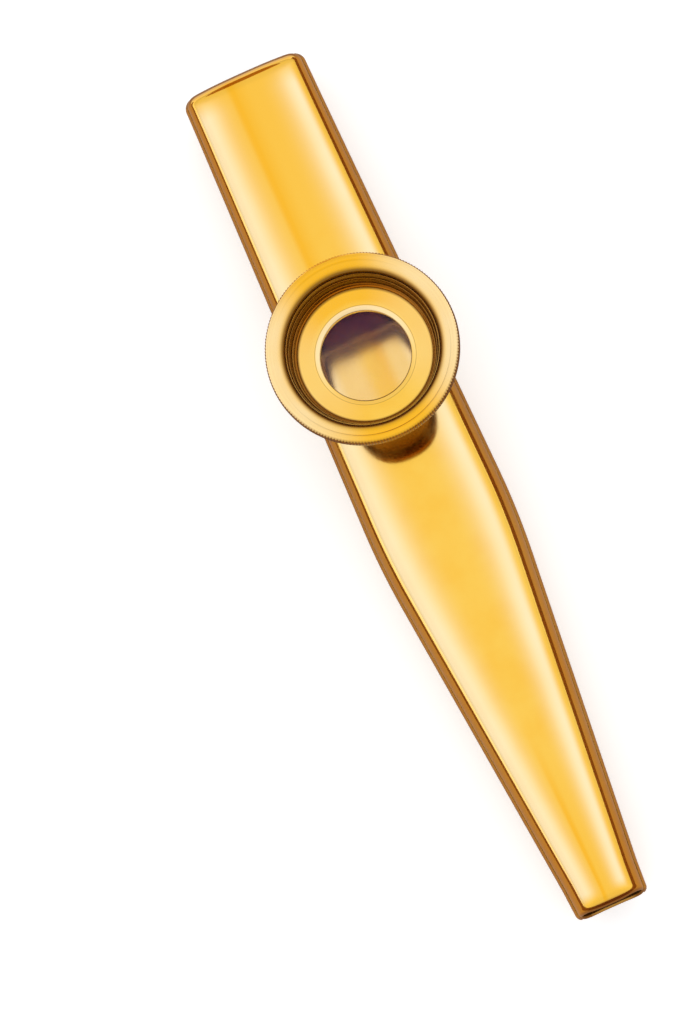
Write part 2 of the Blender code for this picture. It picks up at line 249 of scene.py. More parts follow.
# Relief of the marks: depth, and how strongly it tilts the surface
MARK_DEPTH = 0.000004
MARK_STRENGTH = 0.25
FILM_RIPPLE = 0.0002
FILM_RIPPLE_STRENGTH = 0.25
RING_GRAIN = 0.00001
RING_GRAIN_STRENGTH = 0.4

# How finely each noise is drawn, in patches or marks to the metre
CLOUD_SCALE = 160
SMUDGE_SCALE = 420
POLISH_SCALES = (60, 2600, 2600)
TURNING_SCALE = 5200
PALE_PATCH_SCALE = 90
RIM_PATCH_SCALE = 200
FILM_CLOUD_SCALE = 260
FILM_SMEAR_SCALE = 900
RING_CLOUD_SCALE = 500
RING_GRAIN_SCALE = 6000
MARK_DETAIL = 2.0
CLOUD_SPREAD = (0.35, 0.70)
NOISE_SPREAD = (0.3, 0.7)

# How far the surface leans aside where the painted pale reflection bands are full, start to fade and end
LEFT_PALE = (0.46, 0.62, 0.80)
RIGHT_PALE = (0.41, 0.42, 0.63)

# Leans between which a finish changes. The streak's are its two edges and their softness.
CROWN_STREAK = (-0.055, -0.012, 0.020)
END_LEAN = (0.10, 0.55)
RIM_PALE_LEAN = (0.2, 0.6)
BEVEL_LEAN = (-0.3, 0.2)
BORE_LEAN = (-0.3, 0.3)
UNDER_LEAN = (-0.5, -0.1)
SHADE_LEAN = (0.05, 0.40)
SHADE_RISE = (0.50, 1.0)
FILM_LEAN = (-0.5, 0.5)

# Where round the turret a finish changes, as the share of a point's radius that lies aside or mouthwards
RIM_PALE_ASIDE = (0.30, 0.95)
RICH_ASIDE = (0.20, 0.80)
RICH_TO_MOUTH = (0.2, 0.9)

# Where the finishes change, as distances from the ends, the seam, a wall or the body's middle
MOUTH_PALE = (0.0010, 0.0050)
TIP_PALE = (0.0008, 0.0026)
STREAK_END = (0.020, 0.040)
# Where the shells' painted shade starts and fades
MOUTH_SHADE = (0.0006, 0.0016)
TIP_SHADE = (0.0003, 0.0008)
SEAM_SHADE = 0.0005
LIP_SHADE = (0.0010, 0.0018)
LIP_BELOW = (0.0005, 0.0020)
INSIDE_SHADE = (0.003, 0.020)
BREATH_DULLED = (0.004, 0.016)
COLLAR_DULLED = 0.0015
INNER_MARGIN = 0.0003
FILM_STREAK = 0.0006
FILM_STREAK_EDGES = (0.0005, 0.0028)
WALL_SKIN = (0.0003, 0.0006)
WALL_TOP = (0.0002, 0.0007)
LINE_WIDTH = 0.00006
BORE_LINE = 0.00012

# How strong a finish is in each place, 0 to 1. Dullness by the breath counts above 1.
CLOUDS_DEEPENED = 0.70
ENDS_DEEPENED = 0.90
SHOULDERS_PALED = 0.97
PALE_PATCH_LEAST = 0.88
FILM_PALED = 0.30
RIM_PATCH_LEAST = 0.80
SIDES_PALED = 0.78
SHELF_SIDES_LEFT = 0.30
BEVEL_PALED = 0.80
BEVEL_FAR = 0.10
STREAK_ENRICHED = 0.85
SIDES_ENRICHED = 0.15
FLANGE_ENRICHED = 0.85
FLARE_ENRICHED = 0.90
SHELF_ENRICHED = 0.70
RIDGE_SHADE = 0.60
# Shares of the shells' painted shade
SEAM_SHADED = 0.30
ENDS_SHADED = 0.90
LIP_SHADED = 0.85
INSIDE_SHADED = 0.70
BREATH_DULLNESS = (2.4, 0.40)
COLLAR_DULLNESS = 0.45
CREST_START = 0.2
# Shares of the collar's and cap's painted shade, which also dulls their metal
THREAD_SHADE_AND_DULL = 0.90
CREST_SHADE_AND_DULL = 0.68
BEND_SHADE_AND_DULL = 0.93
COLLAR_SHADE_AND_DULL = 0.93
UNDER_SHADE_AND_DULL = 0.85
BEVEL_LINE_SHADE_AND_DULL = 0.60
BORE_LINE_SHADE_AND_DULL = 0.95
BORE_LINE_FAR = 0.15

# Places that the frame gives
SHELL_LOW, SHELL_HIGH = (Vector(corner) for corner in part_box("lower_shell"))
FILM_LOW, FILM_HIGH = (Vector(corner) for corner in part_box("membrane_film"))
LENGTH = SHELL_HIGH.x - SHELL_LOW.x
SEAM_Z = SHELL_HIGH.z - RIM_ABOVE
CAP_TOP_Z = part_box("turret_cap")[1][2]
TURRET_X = (FILM_LOW.x + FILM_HIGH.x) / 2
RING_RADIUS = (FILM_HIGH.x - FILM_LOW.x) / 2
FILM_Z = FILM_LOW.z

# Sizes that follow from those above
LAP = SHEET + SEAM_GAP
HALF_SHEET = SHEET / 2
SEAT_Z = FILM_Z - FILM_GAP
RING_Z = FILM_Z + FILM_THICKNESS + FILM_GAP
SOLE_Z = RING_Z + RING_THICKNESS + CAP_GAP
BARREL_ROOT = BARREL_RADIUS - HALF_SHEET - THREAD_DEPTH
COLLAR_WALL = BARREL_RADIUS + THREAD_CLEARANCE + HALF_SHEET + THREAD_DEPTH
TUBE_RADIUS = RING_RADIUS - SEAT_WIDTH
NECK_BORE_RADIUS = RING_RADIUS - RING_WIDTH - RING_NECK_GAP - SHEET
TAPER_RISE = 1 - math.sin(BARREL_TAPER)
THREAD_LOW = SOLE_Z + HALF_SHEET + SOLE_ROUND * TAPER_RISE
THREAD_HIGH = CAP_TOP_Z - FLANGE_SINK - HALF_SHEET - FLARE_ROUND * TAPER_RISE
BARREL_TOP = BARREL_ROOT + (THREAD_HIGH - THREAD_LOW) * math.tan(BARREL_TAPER)
FLARE_EDGE = BARREL_TOP + FLARE_ROUND * math.cos(BARREL_TAPER)
CREASE_EDGE = FLARE_EDGE + FLANGE_WIDTH
CREST_EDGE = CREASE_EDGE + CREASE_WIDTH
FLANGE_Z = CAP_TOP_Z - FLANGE_SINK
SKIRT_WALL = CREST_EDGE + CREST_WIDTH + RIM_ROUND
BORE_EDGE = NECK_BORE_RADIUS - NECK_NARROWING
BEVEL_EDGE = BORE_EDGE + HALF_SHEET + NECK_BEVEL
STREAK_GAP_X = LENGTH / 10


def taper(station, at_mouth, at_shoulder, at_tip):
    """A value that rises to the shoulder and falls to the tip, with a blend between the slopes."""
    rise = (at_shoulder - at_mouth) / SHOULDER_FROM_MOUTH
    fall = (at_tip - at_shoulder) / (LENGTH - SHOULDER_FROM_MOUTH)
    past = station - SHOULDER_FROM_MOUTH
    half = SHOULDER_BLEND / 2
    if past <= -half:
        return at_shoulder + rise * past
    if past >= half:
        return at_shoulder + fall * past
    return at_shoulder + rise * past + (fall - rise) * (past + half) ** 2 / (2 * SHOULDER_BLEND)


def half_width(station):
    """Half the width of the shells' skin, inside the lapped rim."""
    return taper(station, MOUTH_WIDTH, SHOULDER_WIDTH, TIP_WIDTH) / 2 - LAP


def half_height(station):
    """Half the height of the body."""
    return taper(station, MOUTH_HEIGHT, SHOULDER_HEIGHT, TIP_HEIGHT) / 2


def spread(first, last, steps):
    """Evenly spaced values from first to last, both included."""
    return [first + (last - first) * i / steps for i in range(steps + 1)]


def body_stations():
    """Distances from the mouth end at which the shells are drawn."""
    first = (MOUTH_CROWN_CURL + LAP) * math.sin(CURL_ANGLE)
    last = LENGTH - (TIP_CROWN_CURL + LAP) * math.sin(CURL_ANGLE)
    blend_start = SHOULDER_FROM_MOUTH - SHOULDER_BLEND / 2
    blend_end = SHOULDER_FROM_MOUTH + SHOULDER_BLEND / 2
    stations = spread(first, blend_start, MOUTH_STEPS)
    stations += spread(blend_start, blend_end, BLEND_STEPS)[1:]
    stations += spread(blend_end, last, TIP_STEPS)[1:]
    return stations


def settle(obj):
    """Turn an object's modifiers into its mesh."""
    bpy.context.view_layer.update()
    graph = bpy.context.evaluated_depsgraph_get()
    mesh = bpy.data.meshes.new_from_object(obj.evaluated_get(graph))
    obj.modifiers.clear()
    obj.data = mesh


def place(name, mesh):
    """An object for a mesh, in the scene."""
    obj = bpy.data.objects.new(name, mesh)
    bpy.context.scene.collection.objects.link(obj)
    return obj


def thicken(obj, offset):
    """Give a surface the thickness of the sheet, and round the sheet's edges."""
    solidify = obj.modifiers.new("Sheet", "SOLIDIFY")
    solidify.thickness = SHEET
    solidify.offset = offset
    solidify.use_even_offset = True
    bevel = obj.modifiers.new("Edges", "BEVEL")
    bevel.width = EDGE_ROUND
    bevel.segments = EDGE_STEPS
    bevel.limit_method = "ANGLE"
    bevel.angle_limit = SHARP_ANGLE


def smooth(obj):
    """Settle an object and shade it smooth between its sharp edges."""
    settle(obj)
    obj.data.shade_smooth()
    obj.data.set_sharp_from_angle(angle=SHARP_ANGLE)


def grid_mesh(name, rows, closed):
    """A mesh surface through rows of points. A closed one joins each row's last point to its first."""
    bm = bmesh.new()
    grid = [[bm.verts.new(point) for point in row] for row in rows]
    for near, far in zip(grid, grid[1:]):
        for i in range(len(near) if closed else len(near) - 1):
            j = (i + 1) % len(near)
            bm.faces.new((near[i], near[j], far[j], far[i]))
    mesh = bpy.data.meshes.new(name)
    bm.to_mesh(mesh)
    bm.free()
    return mesh


def oval_point(station, turn):
    """A point (y, z) on the upper half of the skin's oval, and the outward normal there."""
    power = taper(station, MOUTH_POWER, SHOULDER_POWER, TIP_POWER)
    wide = half_width(station)
    high = half_height(station)
    along = math.cos(turn)
    up = math.sin(turn)
    y = wide * math.copysign(abs(along) ** (2 / power), along)
    z = high * up ** (2 / power)
    slope_y = math.copysign(abs(along) ** (2 - 2 / power), along) / wide
    slope_z = up ** (2 - 2 / power) / high
    size = math.hypot(slope_y, slope_z)
    return y, z, slope_y / size, slope_z / size


def turn_at(station, height):
    """Where round the oval the skin is at a height above the seam."""
    power = taper(station, MOUTH_POWER, SHOULDER_POWER, TIP_POWER)
    return math.asin((height / half_height(station)) ** (power / 2))


def eased(turn):
    """The same quarter turns, with the steps closer at the seam, where the oval's points spread."""
    share = turn / (math.pi / 2)
    if share > 1:
        return math.pi - eased(math.pi - turn)
    return math.pi / 2 * share ** SEAM_EASING


def upper_section(station):
    """Upper shell: a straight edge below the seam on each side, and the dome between them."""
    wide = half_width(station)
    turns = [eased(turn) for turn in spread(0, math.pi, SECTION_STEPS)]
    dome = [oval_point(station, turn) + (0.0,) for turn in turns]
    edge = (wide, -UPPER_EDGE, 1.0, 0.0, 0.0)
    far_edge = (-wide, -UPPER_EDGE, -1.0, 0.0, 0.0)
    return [edge] + dome + [far_edge]


def lower_section(station):
    """Lower shell, drawn upside down: a rim burnished thin at its edge, and a step in to the dome."""
    wide = half_width(station)
    rim_turn = turn_at(station, RIM_BELOW)
    dome_turn = turn_at(station, RIM_BELOW + RIM_STEP)
    rim = [(wide, -RIM_ABOVE, 1.0, 0.0, SEAM_GAP + RIM_FEATHER), (wide, 0.0, 1.0, 0.0, LAP)]
    rim.append(oval_point(station, rim_turn) + (LAP,))
    dome = [
        oval_point(station, turn) + (0.0,)
        for turn in spread(dome_turn, math.pi - dome_turn, SECTION_STEPS)
    ]
    mirrored = [(-y, z, -ny, nz, lap) for y, z, ny, nz, lap in reversed(rim)]
    return rim + dome + mirrored


def straight_row(section, station, side):
    """One row of a shell's skin along the straight body. Side is 1 for the top, -1 for the belly."""
    x = station - LENGTH / 2
    row = [(x, y + ny * lap, SEAM_Z + side * (z + nz * lap)) for y, z, ny, nz, lap in section(station)]
    return row[::side]


def curled_row(section, station, curls, angle, end, side):
    """One row where the skin curls in by an angle. End is -1 at the mouth and 1 at the tip."""
    seam_curl, crown_curl, rim_setback, crown_setback, belly_setback = curls
    middle_setback = crown_setback if side > 0 else belly_setback
    row = []
    for y, z, ny, nz, lap in section(station):
        curl = seam_curl + (crown_curl - seam_curl) * nz * nz
        reserve = curl + LAP * (1 - nz * nz)
        setback = rim_setback * lap / LAP + middle_setback * nz * nz
        back = setback + reserve * math.sin(CURL_ANGLE) - (curl + lap) * math.sin(angle)
        reach = (curl + lap) * math.cos(angle) - curl
        row.append((end * (LENGTH / 2 - back), y + ny * reach, SEAM_Z + side * (z + nz * reach)))
    return row[::side]


def shell(name, section, side):
    """A half shell of sheet metal, from the curled mouth end to the curled tip."""
    stations = body_stations()
    angles = spread(0, CURL_ANGLE, CURL_STEPS)
    mouth = (MOUTH_CURL, MOUTH_CROWN_CURL, 0, MOUTH_CROWN_SETBACK, 0)
    tip = (TIP_CURL, TIP_CROWN_CURL, TIP_RIM_SETBACK, 0, TIP_BELLY_SETBACK)
    rows = [curled_row(section, stations[0], mouth, angle, -1, side) for angle in reversed(angles)]
    rows += [straight_row(section, station, side) for station in stations[1:-1]]
    rows += [curled_row(section, stations[-1], tip, angle, 1, side) for angle in angles]
    made = place(name, grid_mesh(name, rows, False))
    thicken(made, -1)
    return made


def make_upper_shell():
    """The top half of the body, with the hole that the turret collar stands in."""
    made = shell("body_upper_shell", upper_section, 1)
    low = SEAM_Z
    high = SEAM_Z + half_height(TURRET_FROM_MOUTH) + OVERRUN
    bpy.ops.mesh.primitive_cylinder_add(
        vertices=TURN_STEPS,
        radius=TUBE_RADIUS + HOLE_GAP,
        depth=high - low,
        location=(TURRET_X, 0, (low + high) / 2),
    )
    hole = bpy.context.object
    boolean = made.modifiers.new("Hole", "BOOLEAN")
    boolean.operation = "DIFFERENCE"
    boolean.object = hole
    smooth(made)
    bpy.data.objects.remove(hole, do_unlink=True)
    return made


def make_lower_shell():
    """The bottom half of the body, whose rim laps round the upper shell's edge and thins to it."""
    made = shell("body_lower_shell", lower_section, -1)
    across = len(lower_section(LENGTH / 2))
    gauge = made.vertex_groups.new(name="Gauge")
    for vertex in made.data.vertices:
        on_edge = vertex.index % across in (0, across - 1)
        gauge.add([vertex.index], 0.0 if on_edge else 1.0, "REPLACE")
    made.modifiers["Sheet"].vertex_group = "Gauge"
    made.modifiers["Sheet"].thickness_vertex_group = RIM_FEATHER / SHEET
    smooth(made)
    return made


def arc(centre_radius, centre_height, radius, first, last):
    """Profile points (radius, height) along an arc, both ends included."""
    steps = max(1, math.ceil(abs(last - first) / ARC_STEP))
    return [
        (centre_radius + radius * math.cos(a), centre_height + radius * math.sin(a))
        for a in spread(first, last, steps)
    ]


def faded(height, low, high, fade):
    """0 at the ends of a stretch and 1 along it, with a smooth fade between."""
    share = min(1.0, max(0.0, min(height - low, high - height) / fade))
    return share * share * (3 - 2 * share)


def wall_at(root, height):
    """Radius of a tapered wall at a height. Its root is the radius where the thread starts."""
    return root + (height - THREAD_LOW) * math.tan(BARREL_TAPER)


def thread_rise(root):
    """Profile points up a threaded wall, close enough for the thread's waves."""
    steps = round((THREAD_HIGH - THREAD_LOW) / THREAD_PITCH * THREAD_STEPS_PER_TURN)
    return [(wall_at(root, height), height) for height in spread(THREAD_LOW, THREAD_HIGH, steps)]


def threaded(root, direction):
    """How far a rolled thread moves a wall's points: direction 1 swells it, -1 draws it in."""

    def swell(radius, height, around, step):
        on_wall = abs(radius - wall_at(root, height)) < MERGE
        if not on_wall or not THREAD_LOW <= height <= THREAD_HIGH:
            return 0.0
        wave = math.cos(math.tau * (height - SEAT_Z) / THREAD_PITCH - around)
        return THREAD_DEPTH * faded(height, THREAD_LOW, THREAD_HIGH, THREAD_FADE) * (direction + wave)

    return swell


def turned(name, profile, swell):
    """The surface that a profile of (radius, height) sweeps about the turret's axis."""
    rows = []
    for radius, height in profile:
        row = []
        for step in range(TURN_STEPS):
            around = math.tau * step / TURN_STEPS
            reach = radius + swell(radius, height, around, step)
            row.append((TURRET_X + reach * math.cos(around), reach * math.sin(around), height))
        rows.append(row)
    return place(name, grid_mesh(name, rows, True))


def no_swell(radius, height, around, step):
    """A plain round wall."""
    return 0.0


def make_collar():
    """The stepped collar: a tube through the upper shell, a seat, and a threaded cup wall."""
    lip = THREAD_HIGH + COLLAR_LIP
    tube = TUBE_RADIUS - HALF_SHEET
    shelf = SEAT_Z - HALF_SHEET
    foot = wall_at(COLLAR_WALL, shelf + COLLAR_ROUND * TAPER_RISE)
    corner = foot - COLLAR_ROUND * math.cos(BARREL_TAPER)
    profile = [(wall_at(COLLAR_WALL, lip), lip)]
    profile += thread_rise(COLLAR_WALL)[::-1]
    profile += arc(corner, shelf + COLLAR_ROUND, COLLAR_ROUND, -BARREL_TAPER, -math.pi / 2)
    profile += arc(tube + COLLAR_ROUND, shelf - COLLAR_ROUND, COLLAR_ROUND, math.pi / 2, math.pi)
    profile.append((tube, SEAT_Z - SHEET - SHELF_RISE - TUBE_DROP))
    made = turned("threaded_collar", profile, threaded(COLLAR_WALL, -1))
    thicken(made, 0)
    smooth(made)
    return made


def make_film():
    """The resonator film, a thin disc that lies on the collar's seat."""
    edge = [(RING_RADIUS, FILM_Z + FILM_THICKNESS), (RING_RADIUS, FILM_Z)]
    profile = [(RING_RADIUS * share, FILM_Z + FILM_THICKNESS) for share in spread(0, 1, FILM_STEPS)[1:-1]]
    profile += edge
    profile += [(RING_RADIUS * share, FILM_Z) for share in spread(1, 0, FILM_STEPS)[1:-1]]
    made = turned("resonator_film", profile, no_swell)
    bm = bmesh.new()
    bm.from_mesh(made.data)
    bmesh.ops.holes_fill(bm, edges=[edge for edge in bm.edges if edge.is_boundary], sides=0)
    bmesh.ops.recalc_face_normals(bm, faces=bm.faces)
    bm.to_mesh(made.data)
    bm.free()
    smooth(made)
    return made


def make_ring():
    """The moulded ring that keeps the film flat."""
    inner = NECK_BORE_RADIUS + SHEET + RING_NECK_GAP
    profile = [
        (RING_RADIUS - RING_CHAMFER, RING_Z + RING_THICKNESS),
        (RING_RADIUS, RING_Z + RING_THICKNESS - RING_CHAMFER),
        (RING_RADIUS, RING_Z + RING_CHAMFER),
        (RING_RADIUS - RING_CHAMFER, RING_Z),
        (inner + RING_CHAMFER, RING_Z),
        (inner, RING_Z + RING_CHAMFER),
        (inner, RING_Z + RING_THICKNESS - RING_CHAMFER),
        (inner + RING_CHAMFER, RING_Z + RING_THICKNESS),
    ]
    made = turned("film_ring", profile + profile[:1], no_swell)
    bm = bmesh.new()
    bm.from_mesh(made.data)
    bmesh.ops.remove_doubles(bm, verts=bm.verts, dist=MERGE)
    bmesh.ops.recalc_face_normals(bm, faces=bm.faces)
    bm.to_mesh(made.data)
    bm.free()
    smooth(made)
    return made


def crease():
    """Profile points down the soft step from the flange's crest to its trough."""
    points = []
    for share in spread(0, 1, CREASE_STEPS):
        sink = FLANGE_SINK * (1 - math.cos(math.pi * share)) / 2
        points.append((CREST_EDGE - CREASE_WIDTH * share, CAP_TOP_Z - HALF_SHEET - sink))
    return points


def cap_profile():
    """Mid-line of the cap, from its rolled hem over the flange and down to the neck's edge."""
    crest = CAP_TOP_Z - HALF_SHEET
    flange = crest - FLANGE_SINK
    hem = CAP_TOP_Z + HALF_SHEET + HEM_ROUND - SKIRT_HEIGHT
    sole = SOLE_Z + HALF_SHEET + SOLE_ROUND
    neck = BORE_EDGE + HALF_SHEET
    foot = RING_Z - FILM_GAP + NECK_TO_FILM
    sole_centre = BARREL_ROOT - SOLE_ROUND * math.cos(BARREL_TAPER)
    sole_arc = arc(sole_centre, sole, SOLE_ROUND, -BARREL_TAPER, -math.pi / 2 - SOLE_SLOPE)
    shelf = sole_arc[-1][1] + (sole_arc[-1][0] - BEVEL_EDGE) * math.tan(SOLE_SLOPE)
    neck_top = shelf - NECK_BEVEL * math.tan(NECK_BEVEL_SLOPE)
    profile = [(SKIRT_WALL - 2 * HEM_ROUND, hem + HEM_RETURN)]
    profile += arc(SKIRT_WALL - HEM_ROUND, hem, HEM_ROUND, -math.pi, 0)
    profile += [(SKIRT_WALL, height) for height in spread(hem, crest - RIM_ROUND, KNURL_ROWS)[1:-1]]
    profile += arc(SKIRT_WALL - RIM_ROUND, crest - RIM_ROUND, RIM_ROUND, 0, math.pi / 2)
    profile += crease()
    profile += arc(FLARE_EDGE, flange - FLARE_ROUND, FLARE_ROUND, math.pi / 2, math.pi - BARREL_TAPER)[:-1]
    profile += thread_rise(BARREL_ROOT)[::-1]
    profile += sole_arc[1:]
    profile += [(BEVEL_EDGE, shelf), (neck, neck_top), (neck, foot)]
    return profile


def cap_swell(radius, height, around, step):
    """The cap's thread on its barrel, and the fine milling on its skirt and round edge."""
    low = CAP_TOP_Z + HALF_SHEET + HEM_ROUND - SKIRT_HEIGHT
    high = CAP_TOP_Z - HALF_SHEET - RIM_ROUND * (1 - math.sin(KNURL_REACH))
    inner = SKIRT_WALL - RIM_ROUND * (1 - math.cos(KNURL_REACH))
    if radius > inner and low <= height <= high:
        return -KNURL_DEPTH * (step % 2) * faded(height, low, high, KNURL_FADE)
    return threaded(BARREL_ROOT, 1)(radius, height, around, step)


def make_cap():
    """The drawn cap: milled flange, threaded barrel, shelf, and a neck with the hole."""
    made = turned("screw_cap", cap_profile(), cap_swell)
    thicken(made, 0)
    smooth(made)
    return made


class Nodes:
    """The node tree of a material or a world, with short ways to add nodes and join them."""

    def __init__(self, owner):
        owner.use_nodes = True
        self.tree = owner.node_tree

    def shader(self):
        """The inputs of a material's shader."""
        return self.tree.nodes["Principled BSDF"].inputs

    def add(self, kind, **settings):
        """A node of a kind, with its properties set."""
        node = self.tree.nodes.new(kind)
        for key, value in settings.items():
            setattr(node, key, value)
        return node

    def join(self, source, target):
        """Join a socket or set a plain value."""
        if isinstance(source, bpy.types.NodeSocket):
            self.tree.links.new(source, target)
        else:
            target.default_value = source

    def maths(self, operation, *values):
        """The result of a sum on values or sockets."""
        node = self.add("ShaderNodeMath", operation=operation)
        for value, socket in zip(values, node.inputs):
            self.join(value, socket)
        return node.outputs[0]

    def ramp(self, value, low, high, to_low=0.0, to_high=1.0):
        """A value moved smoothly from one range to another."""
        node = self.add("ShaderNodeMapRange", interpolation_type="SMOOTHSTEP")
        self.join(value, node.inputs["Value"])
        node.inputs["From Min"].default_value = low
        node.inputs["From Max"].default_value = high
        node.inputs["To Min"].default_value = to_low
        node.inputs["To Max"].default_value = to_high
        return node.outputs["Result"]

    def band(self, value, low, high, softness):
        """1 where a value is between low and high, with soft edges, and 0 outside."""
        rise = self.ramp(value, low - softness, low + softness)
        fall = self.ramp(value, high - softness, high + softness, 1.0, 0.0)
        return self.maths("MULTIPLY", rise, fall)

    def mix(self, share, first, second):
        """A colour between two colours or sockets."""
        node = self.add("ShaderNodeMix", data_type="RGBA")
        self.join(share, node.inputs["Factor"])
        self.join(first, node.inputs["A"])
        self.join(second, node.inputs["B"])
        return node.outputs["Result"]

    def parts(self, vector):
        """A vector's x, y and z sockets."""
        node = self.add("ShaderNodeSeparateXYZ")
        self.join(vector, node.inputs[0])
        return node.outputs[0], node.outputs[1], node.outputs[2]

    def place(self):
        """The point's place in its object, as (vector, x, y, z) sockets."""
        coordinates = self.add("ShaderNodeTexCoord").outputs["Object"]
        return (coordinates,) + self.parts(coordinates)

    def facing(self):
        """The surface's direction, as x, y and z sockets."""
        return self.parts(self.add("ShaderNodeNewGeometry").outputs["Normal"])

    def noise(self, vector, scale, detail=3.0, roughness=0.55):
        """A noise value at a vector."""
        node = self.add("ShaderNodeTexNoise")
        self.join(vector, node.inputs["Vector"])
        node.inputs["Scale"].default_value = scale
        node.inputs["Detail"].default_value = detail
        node.inputs["Roughness"].default_value = roughness
        return node.outputs["Fac"]

    def stretch(self, vector, scales):
        """A vector with each axis scaled."""
        node = self.add("ShaderNodeMapping")
        self.join(vector, node.inputs["Vector"])
        node.inputs["Scale"].default_value = scales
        return node.outputs["Vector"]

    def bump(self, height, distance, strength):
        """A normal from a height value."""
        node = self.add("ShaderNodeBump")
        self.join(height, node.inputs["Height"])
        node.inputs["Distance"].default_value = distance
        node.inputs["Strength"].default_value = strength
        return node.outputs["Normal"]

    def radius(self, x, y):
        """Distance from the turret's axis."""
        along = self.maths("SUBTRACT", x, TURRET_X)
        squares = self.maths("ADD", self.maths("POWER", along, 2), self.maths("POWER", y, 2))
        return self.maths("SQRT", squares)

    def around(self, x, y):
        """The turn round the turret's axis."""
        return self.maths("ARCTAN2", y, self.maths("SUBTRACT", x, TURRET_X))

    def off_end(self, x):
        """Distance along the body from its nearer end."""
        return self.maths("SUBTRACT", LENGTH / 2, self.maths("ABSOLUTE", x))

    def aside(self, y, radius):
        """How far a point of the turret lies to the side of the body's axis, 0 to 1."""
        return self.maths("DIVIDE", self.maths("ABSOLUTE", y), radius)


def gold(name, grain, pale_share, rich_share, dark_share, dull_share, dark_colour, polish):
    """Polished gold sheet: cloudy tone, polishing marks, painted reflections in pale and rich places,
    painted shade in dark places, and dull places.
    """
    material = bpy.data.materials.new(name)
    nodes = Nodes(material)
    vector, x, y, z = nodes.place()
    marks = grain(nodes, vector, x, y, z)
    clouds = nodes.ramp(nodes.noise(vector, CLOUD_SCALE), *CLOUD_SPREAD, 0.0, CLOUDS_DEEPENED)
    mouth = nodes.ramp(x, -LENGTH / 2, 0.0, ENDS_DEEPENED, 0.0)
    tip = nodes.ramp(x, LENGTH / 4, LENGTH / 2, 0.0, ENDS_DEEPENED)
    deeper = nodes.maths("MAXIMUM", clouds, nodes.maths("MAXIMUM", mouth, tip))
    tone = nodes.mix(deeper, GOLD, DEEP_GOLD)
    # Painted reflections (rich, then pale) and painted shade (dark) go into the base colour here
    tone = nodes.mix(rich_share(nodes, x, y, z), tone, RICH_GOLD)
    tone = nodes.mix(pale_share(nodes, vector), tone, PALE_GOLD)
    colour = nodes.mix(dark_share(nodes, x, y, z), tone, dark_colour)
    rough = nodes.ramp(nodes.noise(vector, SMUDGE_SCALE), *NOISE_SPREAD, *polish)
    rough = nodes.maths("ADD", rough, nodes.maths("MULTIPLY", marks, MARK_ROUGHNESS))
    rough = nodes.maths("ADD", rough, nodes.maths("MULTIPLY", dull_share(nodes, x, y, z), DULLNESS))
    shader = nodes.shader()
    nodes.join(colour, shader["Base Color"])
    nodes.join(rough, shader["Roughness"])
    nodes.join(nodes.bump(marks, MARK_DEPTH, MARK_STRENGTH), shader["Normal"])
    shader["Metallic"].default_value = 1.0
    shader["Coat Weight"].default_value = COAT
    shader["Coat Roughness"].default_value = COAT_ROUGHNESS
    return material


def lengthwise(nodes, vector, x, y, z):
    """Fine polishing marks that run along the body."""
    return nodes.noise(nodes.stretch(vector, POLISH_SCALES), 1.0, MARK_DETAIL)


def round_marks(nodes, vector, x, y, z):
    """Fine turning marks that run round the turret's axis."""
    parts = nodes.add("ShaderNodeCombineXYZ")
    nodes.join(nodes.maths("MULTIPLY", nodes.radius(x, y), TURNING_SCALE), parts.inputs[0])
    nodes.join(nodes.maths("MULTIPLY", z, TURNING_SCALE), parts.inputs[1])
    return nodes.noise(parts.outputs[0], 1.0, MARK_DETAIL)


def pale_side(nodes, lean, edges):
    """1 on one round shoulder of the body, with a long fade to the crown and a short one outwards."""
    full, fading, gone = edges
    return nodes.maths("MULTIPLY", nodes.ramp(lean, 0.0, full), nodes.ramp(lean, fading, gone, 1.0, 0.0))


def shoulder_paleness(nodes, vector):
    """Pale bands on the round shoulders, for the photograph's reflections, and paler under the film."""
    x, y, z = nodes.parts(vector)
    along, across = nodes.facing()[:2]
    left = pale_side(nodes, nodes.maths("MULTIPLY", across, -1.0), LEFT_PALE)
    ridge = nodes.maths("MAXIMUM", left, pale_side(nodes, across, RIGHT_PALE))
    sideways = nodes.ramp(nodes.maths("ABSOLUTE", along), *END_LEAN, SHOULDERS_PALED, 0.0)
    start, full = MOUTH_PALE
    from_mouth = nodes.ramp(x, start - LENGTH / 2, full - LENGTH / 2)
    end, whole = TIP_PALE
    from_tip = nodes.ramp(x, LENGTH / 2 - whole, LENGTH / 2 - end, 1.0, 0.0)
    sideways = nodes.maths("MULTIPLY", sideways, nodes.maths("MULTIPLY", from_mouth, from_tip))
    patchy = nodes.ramp(nodes.noise(vector, PALE_PATCH_SCALE), *NOISE_SPREAD, PALE_PATCH_LEAST, 1.0)
    pale = nodes.maths("MULTIPLY", nodes.maths("MULTIPLY", ridge, sideways), patchy)
    # A painted highlight on the shells' inner face under the film, with a gap along a narrow streak
    off_streak = nodes.maths("ABSOLUTE", nodes.maths("SUBTRACT", y, FILM_STREAK))
    under_film = nodes.ramp(nodes.radius(x, y), TUBE_RADIUS, RING_RADIUS, FILM_PALED, 0.0)
    under_film = nodes.maths("MULTIPLY", under_film, nodes.ramp(off_streak, *FILM_STREAK_EDGES))
    return nodes.maths("MAXIMUM", pale, nodes.maths("MULTIPLY", unpolished(nodes, x, y, z), under_film))


